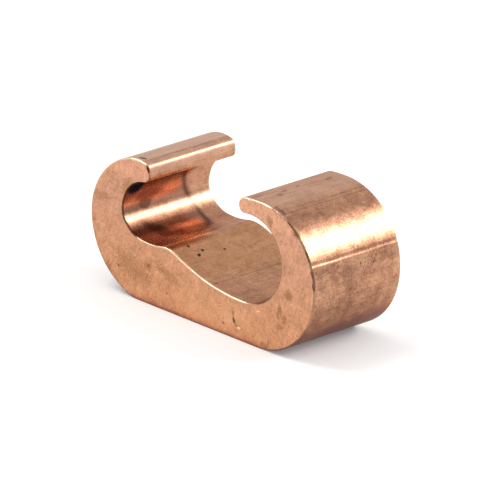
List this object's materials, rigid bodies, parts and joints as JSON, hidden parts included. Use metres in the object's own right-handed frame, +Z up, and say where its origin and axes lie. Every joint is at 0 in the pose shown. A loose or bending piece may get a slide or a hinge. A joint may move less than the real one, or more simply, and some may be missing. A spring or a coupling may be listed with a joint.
{
  "type": "grounding compression connector",
  "caption": "Short extruded copper connector with a large and a small open groove, each under a rounded lip, that is crimped round a ground conductor and a tap conductor.",
  "frame": {"origin": "bottom centre of the bounding box, in the plane of the flat base", "axes": "+X across the grooves from the tap groove to the main groove, +Y along the grooves, +Z up out of the base"},
  "size_m": [0.0558, 0.023, 0.0275],
  "materials": {
    "copper": "bare copper: sawn matt end faces, extruded surfaces with a soft lengthwise sheen"
  },
  "bodies": {
    "root": {"connector_body": "copper"}
  },
  "joints": []
}
